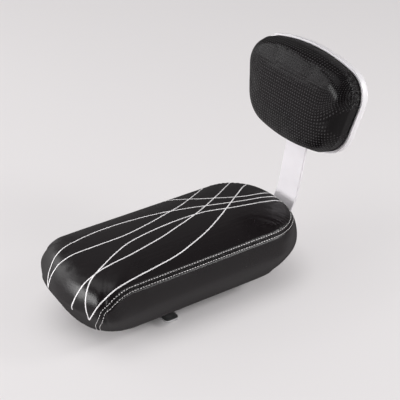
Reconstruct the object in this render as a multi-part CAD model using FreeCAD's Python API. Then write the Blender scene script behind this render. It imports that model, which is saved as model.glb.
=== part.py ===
import FreeCAD, Part
import math
import os

# Rear rack cushion seat: a padded seat on a moulded base, clamped to a bicycle's rear rack,
# with a padded backrest on a bent flat steel bar. Millimetres.
# X runs across the seat, +Y to the rear, +Z up. The origin is on the rack plane, under mid cushion.

# Seat cushion, outer size over the cover
cushion_length = 329.0
cushion_width = 158.0
cushion_height = 74.0
end_bow = 24.0            # how far each end bows out beyond its corners
front_corner_radius = 27.0
rear_corner_radius = 58.0
cover_thickness = 1.5
hem_width = 14.0          # cover turned in under the base
base_thickness = 7.0      # moulded base above the hem
sweep_start = 82.0        # where the rear underside begins to turn up
sweep_radius = 92.0
sweep_dip = 0.6           # the sweep meets the flat underside at a slight edge

# Seam between the top panel and the side band
seam_height = 61.0
seam_drop_from_front = 57.5  # from the front end to where the seam leaves the level and turns down
seam_drop_radius = 38.5
front_wrap_half_width = 54.0
front_wrap_narrowing = 0.5  # how far each seam draws in for each mm that it runs back under the front

# Flat steel bar that carries the backrest
bar_width = 38.0
bar_thickness = 3.0
bar_front = -62.0         # front end of the run under the seat
bar_bend_lead = 3.5       # how far past the start of the underside's sweep the bar's bend begins
bar_sweep_gap = 1.0       # what the bend's inner radius gains on the sweep, so that the bar leaves the base
bar_lean = 10.5           # degrees back from upright
bar_end_radius = 9.0
bar_edge_radius = 0.8
groove_depth = 1.0        # the bar is located in a shallow groove of the base
groove_clearance = 0.3
bar_bolt_places = (-45.0, 5.0, 55.0)

# Rack clamps
rail_gap = 12.0           # room for a rack rail between base and clamp plate
plate_length = 108.0
plate_width = 19.0
plate_thickness = 3.0
plate_corner_radius = 5.0
plate_slot_travel = 20.0  # length of the slot between its end centres
front_plate_place = -40.0
rear_plate_place = 76.0
front_plate_shift = 6.0   # the plates hang loose in their slots, one to each side
rear_plate_shift = -8.0
clamp_bolt_half_spacing = 28.0

# Backrest pad, lying on its back while it is built: Y up the pad, Z towards the rider
pad_top_width = 196.0
pad_bottom_width = 157.0
pad_height = 121.0
pad_depth = 32.0
pad_band = 12.0           # straight side of the pad before its face rolls over
pad_top_bow = 17.5
pad_bottom_bow = 12.0
pad_top_corner_radius = 32.0
pad_bottom_corner_radius = 44.0
pad_rise = 120.5          # from the end of the bar's bend to the pad's middle
pad_hem_width = 14.0
board_thickness = 8.0
bar_above_pad_middle = 38.0
backrest_bolt_places = (-14.0, 20.0)

# White shell behind the backrest
shell_depth = 12.0
shell_overhang = 2.8      # the shell's rim stands out round the pad
shell_wall = 2.5
shell_edge_radius = 7.0
shell_boss_radius = 6.0
shell_screw_half_spacing = 52.0
shell_screw_heights = (-28.0, 30.0)
shell_slot_clearance = 0.5

# Fasteners: M6 bolts, washers and tee nuts, wood screws and staples
bolt_radius = 3.0
thread_clearance = 0.05
bolt_hole_clearance = 0.4
hex_across_flats = 10.0
hex_head_height = 4.0
button_head_radius = 5.25
button_head_height = 3.3
button_head_edge = 1.4
socket_across_flats = 4.0
socket_depth = 2.0
washer_radius = 7.0
washer_thickness = 1.6
nut_flange_radius = 9.5
nut_flange_thickness = 1.5
nut_barrel_radius = 4.0
nut_barrel_length = 6.5
bolt_tip_below_nut_top = 0.5
screw_radius = 1.6
screw_head_radius = 3.6
screw_head_height = 2.2
screw_depth_in_board = 6.0
staple_crown = 10.0
staple_wire = 0.7
staple_width = 1.2
staple_leg = 5.0
staple_pitch = 34.0
staple_fan = 8.0          # degrees that the front staples turn with the hem's bow
rear_staple_place = 138.0  # along the underside, before it is turned up

# Values that follow from the sizes above
margin = 10.0             # how far cutting tools run past what they cut
fullest_corner = 0.8      # most of an end's half width that one corner's radius may take
corner_ease = 0.6         # how much of the pad's draw its corners' radii lose
half_width = cushion_width / 2
half_length = cushion_length / 2
base_top = cover_thickness + base_thickness
seam_drop_start = -half_length + seam_drop_from_front
bar_top = groove_depth
bar_bottom = bar_top - bar_thickness
bar_bend_start = sweep_start + bar_bend_lead
bar_bend_radius = sweep_radius + bar_sweep_gap + bar_thickness / 2  # to the middle of the strip
bar_bend_centre_z = bar_bottom + bar_thickness / 2 + bar_bend_radius
clamp_seat = -rail_gap - plate_thickness - washer_thickness
lean = math.radians(bar_lean)
bend_end_y = bar_bend_start + bar_bend_radius * math.cos(lean)
bend_end_z = bar_bend_centre_z - bar_bend_radius * math.sin(lean)
pad_rear = -cover_thickness
shell_back = pad_rear - shell_depth


def vec(x, y, z):
    return FreeCAD.Vector(x, y, z)


def block(x0, x1, y0, y1, z0, z1):
    return Part.makeBox(x1 - x0, y1 - y0, z1 - z0, vec(x0, y0, z0))


def rod(radius, x, y, z0, z1):
    return Part.makeCylinder(radius, z1 - z0, vec(x, y, z0))


def hexagon(across_flats, x, y, z0, z1):
    corner = across_flats / math.sqrt(3)
    turns = [math.radians(60 * i) for i in range(7)]
    points = [vec(x + corner * math.cos(turn), y + corner * math.sin(turn), z0) for turn in turns]
    return Part.Face(Part.makePolygon(points)).extrude(vec(0, 0, z1 - z0))


def upright_edges(solid, places):
    found = []
    for edge in solid.Edges:
        a, b = edge.Vertexes[0].Point, edge.Vertexes[-1].Point
        if abs(a.x - b.x) + abs(a.y - b.y) < 1e-6:
            if any(abs(a.x - x) + abs(a.y - y) < 1e-4 for x, y in places):
                found.append(edge)
    return found


def rounded_slab(outline, corners, radii, height):
    """Slab on a closed outline of edges, with each pair of corners rounded by its own radius."""
    slab = Part.Face(Part.Wire(outline)).extrude(vec(0, 0, height))
    for pair, radius in zip(corners, radii):
        slab = slab.makeFillet(radius, upright_edges(slab, pair))
    return slab


def bowed_slab(halves, ends, bows, radii, level, height):
    """Slab with straight sides and bowed ends. Each pair is for the low end, then the high end along Y."""
    (low_half, high_half), (low, high), (low_bow, high_bow) = halves, ends, bows
    a, b = vec(-low_half, low + low_bow, level), vec(low_half, low + low_bow, level)
    c, d = vec(high_half, high - high_bow, level), vec(-high_half, high - high_bow, level)
    outline = [Part.Arc(a, vec(0, low, level), b).toShape(), Part.makeLine(b, c),
               Part.Arc(c, vec(0, high, level), d).toShape(), Part.makeLine(d, a)]
    corners = [[(a.x, a.y), (b.x, b.y)], [(c.x, c.y), (d.x, d.y)]]
    return rounded_slab(outline, corners, radii, height)


def bottom_wire(slab):
    return min(slab.Faces, key=lambda face: face.CenterOfMass.z).OuterWire


def rack_sweep(offset):
    """What lies below the rear underside, as it turns up with the bar. offset moves it into the cushion."""
    centre_z = sweep_radius - sweep_dip
    reach = cushion_length
    below = block(-reach, reach, sweep_start, sweep_start + reach, -margin, centre_z)
    axis_start = vec(-reach - margin, sweep_start, centre_z)
    inside = Part.makeCylinder(sweep_radius - offset, 2 * (reach + margin), axis_start, vec(1, 0, 0))
    return below.cut(inside)


def above_base(offset):
    reach = cushion_length
    return block(-reach, reach, -reach, reach, offset, reach).cut(rack_sweep(offset))


# Seat sections from underside to crown: height as a share, how far the sides, front and rear draw in,
# and what the corners' radii gain
seat_sections = (
    (0.0, 18.0, 31.0, 28.0, 26.0),
    (0.05, 12.6, 20.4, 21.0, 16.0),
    (0.19, 6.2, 12.4, 8.0, 4.0),
    (0.31, 2.4, 6.4, 2.5, 1.0),
    (0.47, 0.0, 1.0, 0.0, 0.0),
    (0.67, 1.4, 2.4, 0.8, 0.0),
    (0.825, 6.2, 9.8, 4.2, 2.0),
    (0.918, 12.2, 15.6, 11.6, 0.0),
    (0.96, 18.5, 21.5, 18.5, -3.0),
    (0.985, 28.0, 30.0, 28.0, -6.0),
    (0.996, 38.0, 39.5, 38.0, -10.0),
    (1.0, 52.0, 53.0, 52.0, -16.0),
)


def corner_radius(wanted, half):
    """A corner's radius, held below the half width so that the two corners of an end don't meet."""
    return min(wanted, fullest_corner * half)


def seat_slab(section, inset, level, height):
    """Slab on one section's outline, drawn in by inset."""
    _, side, front, rear, extra_radius = section
    half = half_width - side - inset
    bow = end_bow * half / half_width
    radii = [corner_radius(radius + extra_radius - inset, half)
             for radius in (front_corner_radius, rear_corner_radius)]
    ends = (-half_length + front + inset, half_length - rear - inset)
    return bowed_slab((half, half), ends, (bow, bow), radii, level, height)


def seat_form(inset):
    """The cushion's outer form, or the same form drawn in by the cover's thickness."""
    inner_height = cushion_height - 2 * inset
    wires = [bottom_wire(seat_slab(section, inset, inset + section[0] * inner_height, 1.0))
             for section in seat_sections]
    return Part.makeLoft(wires, True, False).cut(rack_sweep(inset))


def seam_region():
    """Everything that belongs to the top panel: above the seam, and in front of it where it drops."""
    turn_y, turn_z = seam_drop_start, seam_height - seam_drop_radius
    reach = cushion_length
    corner = seam_drop_radius / math.sqrt(2)
    x = -reach
    start, turn = vec(x, reach, seam_height), vec(x, turn_y, seam_height)
    mid, low = vec(x, turn_y - corner, turn_z + corner), vec(x, turn_y - seam_drop_radius, turn_z)
    foot, far_foot = vec(x, low.y, -margin), vec(x, -reach, -margin)
    far_top, top = vec(x, -reach, reach), vec(x, reach, reach)
    edges = [Part.makeLine(start, turn), Part.Arc(turn, mid, low).toShape(), Part.makeLine(low, foot),
             Part.makeLine(foot, far_foot), Part.makeLine(far_foot, far_top), Part.makeLine(far_top, top),
             Part.makeLine(top, start)]
    region = Part.Face(Part.Wire(edges)).extrude(vec(2 * reach, 0, 0))
    hem_edge = -half_length + seat_sections[0][2] + hem_width + margin
    near, far = front_wrap_half_width, front_wrap_half_width - front_wrap_narrowing * (hem_edge - low.y)
    plan = [vec(-near, low.y, -margin), vec(near, low.y, -margin), vec(far, hem_edge, -margin),
            vec(-far, hem_edge, -margin), vec(-near, low.y, -margin)]
    wrap = Part.Face(Part.makePolygon(plan)).extrude(vec(0, 0, turn_z + margin))
    return region.fuse(wrap)


def bar_strip(half, top_extra, bottom_extra, front, top_end):
    """The bar's strip, or a groove for it: half its width, with extra thickness above and below."""
    inner = bar_bend_radius - bar_thickness / 2 - top_extra
    outer = bar_bend_radius + bar_thickness / 2 + bottom_extra
    def rim(radius):
        def at(angle):
            return vec(-half, bar_bend_start + radius * math.sin(angle),
                       bar_bend_centre_z - radius * math.cos(angle))
        end = math.pi / 2 - lean
        first, last = at(0), at(end)
        foot = vec(-half, front, first.z)
        tip = last + vec(0, math.sin(lean), math.cos(lean)) * top_end
        edges = [Part.makeLine(foot, first), Part.Arc(first, at(end / 2), last).toShape(),
                 Part.makeLine(last, tip)]
        return edges, foot, tip
    top_edges, top_foot, top_tip = rim(inner)
    low_edges, low_foot, low_tip = rim(outer)
    wire = Part.Wire(top_edges + [Part.makeLine(top_tip, low_tip)] + low_edges[::-1]
                     + [Part.makeLine(low_foot, top_foot)])
    return Part.Face(wire).extrude(vec(2 * half, 0, 0))


def backrest_placement():
    """From the pad lying on its back to its place: its rear plane is the front face of the bar."""
    forward = vec(0, -math.cos(lean), math.sin(lean)) * (bar_thickness / 2)
    up = vec(0, math.sin(lean), math.cos(lean)) * pad_rise
    place = vec(0, bend_end_y, bend_end_z) + up + forward
    return FreeCAD.Placement(place, FreeCAD.Rotation(vec(1, 0, 0), 90 - bar_lean))


def raised(shape):
    standing = shape.copy()
    standing.Placement = backrest_placement().multiply(standing.Placement)
    return standing


def round_bar_ends(strip):
    """Rounds the two free ends of the bar in plan."""
    front_edges = [e for e in strip.Edges if abs(e.BoundBox.XLength) < 1e-6
                   and abs(e.CenterOfMass.y - bar_front) < 1e-6 and e.BoundBox.ZLength > bar_thickness / 2]
    strip = strip.makeFillet(bar_end_radius, front_edges)
    highest = strip.BoundBox.ZMax
    top_edges = [e for e in strip.Edges if abs(e.BoundBox.XLength) < 1e-6
                 and e.BoundBox.ZMax > highest - bar_thickness and e.Length < bar_thickness + 1e-3]
    return strip.makeFillet(bar_end_radius, top_edges)


def ease_bar_edges(strip):
    """Rounds the long edges of the strip's two faces."""
    across = [e for e in strip.Edges if e.Length < bar_thickness + 1e-3]
    return strip.makeFillet(bar_edge_radius, [e for e in strip.Edges if not any(e.isSame(a) for a in across)])


def hex_bolt(x, y, seat, tip):
    head = hexagon(hex_across_flats, x, y, seat - hex_head_height, seat)
    return head.fuse(rod(bolt_radius, x, y, seat, tip))


def button_bolt(x, y, seat, tip):
    head = rod(button_head_radius, x, y, seat - button_head_height, seat)
    rim = [e for e in head.Edges if abs(e.BoundBox.ZMax - seat + button_head_height) < 1e-6]
    head = head.makeFillet(button_head_edge, rim)
    bottom = seat - button_head_height
    socket = hexagon(socket_across_flats, x, y, bottom - margin, bottom + socket_depth)
    return head.fuse(rod(bolt_radius, x, y, seat, tip)).cut(socket)


def wood_screw(x, y, seat, tip):
    head = rod(screw_head_radius, x, y, seat - screw_head_height, seat)
    return head.fuse(rod(screw_radius, x, y, seat, tip))


def washer(x, y, seat):
    ring = rod(washer_radius, x, y, seat, seat + washer_thickness)
    return ring.cut(rod(bolt_radius + bolt_hole_clearance, x, y, seat - margin, seat + margin))


def tee_nut(x, y, top):
    flange = rod(nut_flange_radius, x, y, top - nut_flange_thickness, top)
    nut = flange.fuse(rod(nut_barrel_radius, x, y, top - nut_barrel_length, top))
    return nut.cut(rod(bolt_radius + thread_clearance, x, y, top - nut_barrel_length - margin, top + margin))


def nut_pocket(x, y, bottom, top):
    """Hole for a tee nut's barrel and bolt, with a seat that lets the flange in flush."""
    hole = rod(nut_barrel_radius, x, y, bottom - margin, top)
    return hole.fuse(rod(nut_flange_radius, x, y, top - nut_flange_thickness, top + margin))


def staple(x, y, turn, level):
    """A wire staple driven upwards, its crown lying on the surface at level, turned about Z."""
    half = staple_crown / 2
    crown = block(-half, half, -staple_width / 2, staple_width / 2, -staple_wire, 0)
    legs = [block(side, side + staple_wire, -staple_width / 2, staple_width / 2, -staple_wire / 2, staple_leg)
            for side in (-half, half - staple_wire)]
    wire = crown.fuse(legs)
    wire.Placement = FreeCAD.Placement(vec(x, y, level), FreeCAD.Rotation(vec(0, 0, 1), turn))
    return wire


def on_sweep(shape, y):
    """Carries a piece made on the flat underside at y round the rear sweep."""
    flat_end = sweep_start + math.sqrt(2 * sweep_radius * sweep_dip - sweep_dip ** 2)
    if y <= flat_end:
        return shape
    centre = vec(0, sweep_start, sweep_radius - sweep_dip)
    crossing = math.asin((flat_end - sweep_start) / sweep_radius)
    angle = crossing + (y - flat_end) / sweep_radius
    rolled = shape.copy()
    rolled.translate(vec(0, sweep_start - y, -sweep_dip))
    rolled.rotate(centre, vec(1, 0, 0), math.degrees(angle))
    return rolled


def seat_staples():
    """Staples along the middle of the hem: down both sides, across the front and beside the bar."""
    _, side, front, _, extra_radius = seat_sections[0]
    hem_middle = hem_width / 2
    x_side = half_width - side - hem_middle
    y_front = -half_length + front + hem_middle
    first = -half_length + front + front_corner_radius + extra_radius + end_bow
    count = int((sweep_start - first) / staple_pitch) + 1
    wires = []
    for i in range(count):
        y = first + i * staple_pitch
        wires += [staple(x, y, 90, 0) for x in (-x_side, x_side)]
    bow_radius = staple_pitch / math.tan(math.radians(staple_fan))
    drop = bow_radius * (1 - math.cos(math.radians(staple_fan)))
    wires += [staple(i * staple_pitch, y_front + abs(i) * drop, i * staple_fan, 0) for i in (-1, 0, 1)]
    for side_sign in (-1, 1):
        flat = staple(side_sign * (bar_width / 2 + staple_crown), rear_staple_place, 0, 0)
        wires.append(on_sweep(flat, rear_staple_place))
    return wires


def clamp_plate(y, shift):
    x0, x1 = shift - plate_length / 2, shift + plate_length / 2
    y0, y1 = y - plate_width / 2, y + plate_width / 2
    plate = block(x0, x1, y0, y1, -rail_gap - plate_thickness, -rail_gap)
    corners = [(x0, y0), (x0, y1), (x1, y0), (x1, y1)]
    plate = plate.makeFillet(plate_corner_radius, upright_edges(plate, corners))
    radius = bolt_radius + bolt_hole_clearance
    low, high = -rail_gap - plate_thickness - margin, -rail_gap + margin
    for side in (-1, 1):
        middle = shift + side * clamp_bolt_half_spacing
        a, b = middle - plate_slot_travel / 2, middle + plate_slot_travel / 2
        slot = block(a, b, y - radius, y + radius, low, high)
        slot = slot.fuse([rod(radius, end, y, low, high) for end in (a, b)])
        plate = plate.cut(slot)
    return plate


def pad_slab(inset, level, height):
    low_half, high_half = pad_bottom_width / 2 - inset, pad_top_width / 2 - inset
    bows = (pad_bottom_bow * low_half * 2 / pad_bottom_width, pad_top_bow * high_half * 2 / pad_top_width)
    radii = [radius - corner_ease * inset for radius in (pad_bottom_corner_radius, pad_top_corner_radius)]
    ends = (-pad_height / 2 + inset, pad_height / 2 - inset)
    return bowed_slab((low_half, high_half), ends, bows, radii, level, height)


# How the pad's face rolls over: share of the depth past the straight band, and how far the outline draws in
pad_sections = ((0.0, 0.0), (0.45, 2.0), (0.70, 5.2), (0.85, 9.5), (0.93, 14.0), (0.98, 23.0), (1.0, 34.0))


def pad_form(inset, rear):
    """The backrest pad's crowned form, drawn in by inset, from its rear plane to its face."""
    straight = pad_slab(inset, rear, pad_band - rear)
    roll = pad_depth - inset - pad_band
    wires = [bottom_wire(pad_slab(inset + draw, pad_band + share * roll, 1.0))
             for share, draw in pad_sections]
    return straight.fuse(Part.makeLoft(wires, True, False)).removeSplitter()


def shell_body():
    body = pad_slab(-shell_overhang, shell_back, shell_depth)
    rear_edges = [e for e in body.Edges if abs(e.BoundBox.ZMax - shell_back) < 1e-6]
    body = body.makeFillet(shell_edge_radius, rear_edges)
    floor = shell_back + shell_wall
    room = pad_slab(shell_wall - shell_overhang, floor, shell_depth)
    floor_edges = [e for e in room.Edges if abs(e.BoundBox.ZMax - floor) < 1e-6]
    room = room.makeFillet(shell_edge_radius - shell_wall, floor_edges)
    body = body.cut(room)
    places = [(side * shell_screw_half_spacing, v) for v in shell_screw_heights for side in (-1, 1)]
    for x, v in places:
        body = body.fuse(rod(shell_boss_radius, x, v, floor - shell_wall / 2, 0))
    for x, v in places:
        seat = shell_back + screw_head_height
        body = body.cut(rod(screw_head_radius + bolt_hole_clearance, x, v, shell_back - margin, seat))
        body = body.cut(rod(screw_radius + bolt_hole_clearance, x, v, shell_back, margin))
    return body, places


def group(solids):
    return Part.makeCompound(solids)


# Seat: cover, foam and base from one form
outer, inner = seat_form(0.0), seat_form(cover_thickness)
foam_room = above_base(base_top)
ledge = cover_thickness + base_thickness / 2
hem_opening = seat_slab(seat_sections[0], hem_width, -margin, margin + cushion_height).cut(above_base(ledge))
skin = outer.cut(inner).cut(hem_opening)
region = seam_region()
top_panel, side_band = skin.common(region), skin.cut(region)
seat_foam = inner.common(foam_room)
seat_base = outer.common(hem_opening).fuse(inner.cut(foam_room)).removeSplitter()

# Bar, from under the seat to behind the backrest
bar_half = bar_width / 2
bar_reach = pad_rise + bar_above_pad_middle
bar = ease_bar_edges(round_bar_ends(bar_strip(bar_half, 0, 0, bar_front, bar_reach)))
groove = bar_strip(bar_half + groove_clearance, 0, margin, bar_front - groove_clearance, bar_reach)
seat_base, side_band = seat_base.cut(groove), side_band.cut(groove)

# Places of the bolts in the base
clamp_places = [(side * clamp_bolt_half_spacing, y) for y in (front_plate_place, rear_plate_place)
                for side in (-1, 1)]
bar_places = [(0, y) for y in bar_bolt_places]
for x, y in clamp_places + bar_places:
    seat_base = seat_base.cut(nut_pocket(x, y, 0, base_top))
bar_seat = bar_bottom - washer_thickness
for x, y in bar_places:
    bar = bar.cut(rod(bolt_radius + bolt_hole_clearance, x, y, bar_bottom - margin, bar_top + margin))
nut_tip = base_top - bolt_tip_below_nut_top

# Staples through the hem
staples = seat_staples()
side_band, top_panel, seat_base = [piece.cut(group(staples)) for piece in (side_band, top_panel, seat_base)]

# Backrest, built lying on its back
pad_outer, pad_inner = pad_form(0.0, pad_rear), pad_form(cover_thickness, 0.0)
pad_opening = pad_slab(pad_hem_width, pad_rear - margin, margin + cover_thickness)
bar_passage = block(-bar_half - shell_slot_clearance, bar_half + shell_slot_clearance, -pad_height, 0,
                    -bar_thickness - shell_slot_clearance, 0)
backrest_cover = pad_outer.cut(pad_inner).cut(pad_opening).cut(bar_passage)
board_room = pad_slab(-margin, -margin, margin + board_thickness)
board, pad_foam = pad_inner.common(board_room), pad_inner.cut(board_room)
shell, screw_places = shell_body()
shell = shell.cut(bar_passage)
backrest_places = [(0, v) for v in backrest_bolt_places]
backrest_seat = -bar_thickness - washer_thickness
for x, v in backrest_places:
    board = board.cut(nut_pocket(x, v, 0, board_thickness))
    bar = bar.cut(raised(rod(bolt_radius + bolt_hole_clearance, x, v, -bar_thickness - margin, margin)))
screws = [wood_screw(x, v, shell_back + screw_head_height, screw_depth_in_board) for x, v in screw_places]
board = board.cut(group(screws))
ring = pad_hem_width / 2
pad_staples = [staple(x, side * (pad_height / 2 - ring), 0, pad_rear)
               for side in (-1, 1) for x in (-staple_pitch, staple_pitch)]
pad_staples += [staple(side * (pad_top_width + pad_bottom_width) / 4 - side * ring, 0, 90, pad_rear)
                for side in (-1, 1)]
backrest_cover, board = [piece.cut(group(pad_staples)) for piece in (backrest_cover, board)]

nodes = {
    "seat_base": seat_base,
    "seat_foam": seat_foam,
    "seat_top_panel": top_panel,
    "seat_side_band": side_band,
    "seat_staples": group(staples),
    "clamp_tee_nuts": group([tee_nut(x, y, base_top) for x, y in clamp_places]),
    "bar_tee_nuts": group([tee_nut(x, y, base_top) for x, y in bar_places]),
    "backrest_bar": bar,
    "bar_bolts": group([button_bolt(x, y, bar_seat, nut_tip) for x, y in bar_places]),
    "bar_washers": group([washer(x, y, bar_seat) for x, y in bar_places]),
    "front_clamp_plate": clamp_plate(front_plate_place, front_plate_shift),
    "rear_clamp_plate": clamp_plate(rear_plate_place, rear_plate_shift),
    "clamp_bolts": group([hex_bolt(x, y, clamp_seat, nut_tip) for x, y in clamp_places]),
    "clamp_washers": group([washer(x, y, clamp_seat) for x, y in clamp_places]),
    "backrest_board": raised(board),
    "backrest_foam": raised(pad_foam),
    "backrest_cover": raised(backrest_cover),
    "backrest_staples": raised(group(pad_staples)),
    "backrest_tee_nuts": raised(group([tee_nut(x, v, board_thickness) for x, v in backrest_places])),
    "backrest_bolts": raised(group([button_bolt(x, v, backrest_seat, board_thickness - bolt_tip_below_nut_top)
                                    for x, v in backrest_places])),
    "backrest_washers": raised(group([washer(x, v, backrest_seat) for x, v in backrest_places])),
    "backrest_shell": raised(shell),
    "shell_screws": raised(group(screws)),
}

os.makedirs("parts", exist_ok=True)
for name, shape in nodes.items():
    shape.exportStep(f"parts/{name}.step")
    print(f"{name}: {len(shape.Solids)} solids, {shape.Volume / 1000:.2f} cm3, valid {shape.isValid()}")
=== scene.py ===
import bpy
import bmesh
import math
from mathutils import Matrix, Vector
from mathutils.bvhtree import BVHTree
from mathutils.kdtree import KDTree


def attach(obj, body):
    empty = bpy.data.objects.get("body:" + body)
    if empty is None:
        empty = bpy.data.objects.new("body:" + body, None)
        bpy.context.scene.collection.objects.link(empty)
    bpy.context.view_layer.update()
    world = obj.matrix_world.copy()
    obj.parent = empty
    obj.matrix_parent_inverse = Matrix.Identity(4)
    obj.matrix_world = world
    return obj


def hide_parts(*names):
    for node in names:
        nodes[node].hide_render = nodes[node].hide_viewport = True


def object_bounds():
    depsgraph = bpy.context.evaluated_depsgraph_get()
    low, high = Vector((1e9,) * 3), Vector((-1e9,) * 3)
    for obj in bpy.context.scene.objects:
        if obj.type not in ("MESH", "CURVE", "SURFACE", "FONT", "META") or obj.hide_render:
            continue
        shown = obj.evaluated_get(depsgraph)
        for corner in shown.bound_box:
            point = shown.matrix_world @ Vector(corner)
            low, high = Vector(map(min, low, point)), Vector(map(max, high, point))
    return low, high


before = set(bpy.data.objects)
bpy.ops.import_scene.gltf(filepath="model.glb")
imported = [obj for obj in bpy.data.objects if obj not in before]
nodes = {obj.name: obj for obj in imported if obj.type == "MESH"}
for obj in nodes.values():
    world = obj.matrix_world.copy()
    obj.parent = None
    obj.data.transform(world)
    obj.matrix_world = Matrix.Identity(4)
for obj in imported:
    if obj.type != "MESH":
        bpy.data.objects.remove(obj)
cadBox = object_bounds()
scene = bpy.context.scene
mm = 0.001
print("frame loaded:", len(nodes), "nodes")


# nodes and finishes
def addNode(tree, kind, sockets=None, **settings):
    node = tree.nodes.new(kind)
    for name, value in settings.items():
        setattr(node, name, value)
    for name, value in (sockets or {}).items():
        if isinstance(value, bpy.types.NodeSocket):
            tree.links.new(value, node.inputs[name])
        else:
            node.inputs[name].default_value = value
    return node


def newFinish(name, colour, roughness, **values):
    finish = bpy.data.materials.new(name)
    finish.use_nodes = True
    tree = finish.node_tree
    shader = tree.nodes["Principled BSDF"]
    shader.inputs["Base Color"].default_value = (*colour, 1)
    shader.inputs["Roughness"].default_value = roughness
    for socket, value in values.items():
        shader.inputs[socket.replace("_", " ")].default_value = value
    place = addNode(tree, "ShaderNodeTexCoord").outputs["Object"]
    return finish, tree, shader, place


def noiseOn(tree, place, scale, detail=3.0, rough=0.55):
    sockets = {"Vector": place, "Scale": scale, "Detail": detail, "Roughness": rough}
    return addNode(tree, "ShaderNodeTexNoise", sockets).outputs["Fac"]


def spread(tree, value, low, high, fromLow=0.3, fromHigh=0.7):
    sockets = {"Value": value, "From Min": fromLow, "From Max": fromHigh, "To Min": low, "To Max": high}
    return addNode(tree, "ShaderNodeMapRange", sockets).outputs["Result"]


def mathOf(tree, operation, a, b):
    return addNode(tree, "ShaderNodeMath", {0: a, 1: b}, operation=operation).outputs[0]


def sumOf(tree, a, b, share):
    return mathOf(tree, "ADD", a, mathOf(tree, "MULTIPLY", b, share))


def tintBy(tree, shader, value, dark, light):
    ramp = addNode(tree, "ShaderNodeValToRGB", {"Fac": value})
    ramp.color_ramp.elements[0].position, ramp.color_ramp.elements[1].position = 0.3, 0.7
    ramp.color_ramp.elements[0].color, ramp.color_ramp.elements[1].color = (*dark, 1), (*light, 1)
    tree.links.new(ramp.outputs["Color"], shader.inputs["Base Color"])


def roughBy(tree, shader, value, low, high):
    tree.links.new(spread(tree, value, low, high), shader.inputs["Roughness"])


def bumpBy(tree, shader, height, strength, depth):
    bump = addNode(tree, "ShaderNodeBump", {"Height": height, "Strength": strength, "Distance": depth})
    tree.links.new(bump.outputs["Normal"], shader.inputs["Normal"])


def pressDotsPaintGlints(tree, shader, look):
    # round dimples in rows on the sheet, each painted a paler glint colour that stands in for the highlight
    # in it, fainter where it gathers or stretches
    sheet = addNode(tree, "ShaderNodeAttribute", attribute_name="sheet").outputs["Vector"]
    sockets = {"Vector": sheet, "Scale": 1 / look["dotPitch"], "Randomness": 0.0}
    rows = addNode(tree, "ShaderNodeTexVoronoi", sockets, voronoi_dimensions="2D", feature="F1")
    reach = look["dotRadius"] / look["dotPitch"]
    sockets = {"Value": rows.outputs["Distance"], "From Min": 0.0, "From Max": reach,
               "To Min": 0.0, "To Max": 1.0}
    around = addNode(tree, "ShaderNodeMapRange", sockets, interpolation_type="SMOOTHSTEP").outputs["Result"]
    evenness = addNode(tree, "ShaderNodeSeparateXYZ", {"Vector": sheet}).outputs["Z"]
    press = mathOf(tree, "MULTIPLY", mathOf(tree, "SUBTRACT", 1.0, around), evenness)
    # the paler dot colour mixed in here is a painted glint, not the vinyl's own colour
    vinyl = shader.inputs["Base Color"].links[0].from_socket
    sockets = {"Fac": press, "Color1": vinyl, "Color2": (*look["dotGlintColour"], 1)}
    tree.links.new(addNode(tree, "ShaderNodeMixRGB", sockets).outputs[0], shader.inputs["Base Color"])
    grain = shader.inputs["Normal"].links[0].from_socket
    sockets = {"Height": press, "Strength": 1.0, "Distance": look["dotDepth"] * mm, "Normal": grain}
    dimples = addNode(tree, "ShaderNodeBump", sockets, invert=True)
    tree.links.new(dimples.outputs["Normal"], shader.inputs["Normal"])


def makeVinyl(name, look):
    finish, tree, shader, place = newFinish(name, look["colour"], look["rough"][0])
    shader.inputs["Specular IOR Level"].default_value = look["specular"]
    pebbles = addNode(tree, "ShaderNodeTexVoronoi", {"Vector": place, "Scale": look["grain"]}, feature="F1")
    creases = noiseOn(tree, place, look["grain"] * 0.35, 4.0)
    height = sumOf(tree, pebbles.outputs["Distance"], creases, 0.8)
    bumpBy(tree, shader, height, look["bump"], 0.0003)
    handled = noiseOn(tree, place, 22.0, 3.0)
    edgeOn = addNode(tree, "ShaderNodeLayerWeight", {"Blend": 0.5}).outputs["Facing"]
    gloss = spread(tree, handled, *look["rough"])
    fade = spread(tree, edgeOn, 0.0, look["fade"], 0.4, 0.9)  # the gloss fades edge-on
    tree.links.new(sumOf(tree, gloss, fade, 1.0), shader.inputs["Roughness"])
    tintBy(tree, shader, handled, look["colour"], look["worn"])
    if "dotPitch" in look:
        pressDotsPaintGlints(tree, shader, look)
    return finish


def makePaint():
    finish, tree, shader, place = newFinish("whitePaintedSteel", (0.79, 0.76, 0.79), 0.34)
    peel = noiseOn(tree, place, 900.0, 2.0)
    bumpBy(tree, shader, peel, 0.12, 0.0002)
    cloud = noiseOn(tree, place, 30.0, 4.0)
    roughBy(tree, shader, cloud, 0.30, 0.42)
    tintBy(tree, shader, cloud, (0.76, 0.73, 0.76), (0.81, 0.78, 0.81))
    return finish


def makeShell():
    finish, tree, shader, place = newFinish("whiteMouldedShell", (0.76, 0.74, 0.76), 0.28)
    flow = noiseOn(tree, place, 14.0, 2.0)
    bumpBy(tree, shader, noiseOn(tree, place, 500.0, 2.0), 0.06, 0.0002)
    roughBy(tree, shader, flow, 0.24, 0.34)
    tintBy(tree, shader, flow, (0.74, 0.72, 0.74), (0.78, 0.76, 0.78))
    return finish


def makeBase():
    finish, tree, shader, place = newFinish("blackMouldedBase", (0.02, 0.019, 0.02), 0.55)
    spark = noiseOn(tree, place, 1400.0, 2.0)
    bumpBy(tree, shader, spark, 0.35, 0.0002)
    scuff = noiseOn(tree, place, 45.0, 5.0)
    roughBy(tree, shader, scuff, 0.45, 0.65)
    tintBy(tree, shader, scuff, (0.016, 0.015, 0.016), (0.028, 0.027, 0.028))
    return finish


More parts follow.
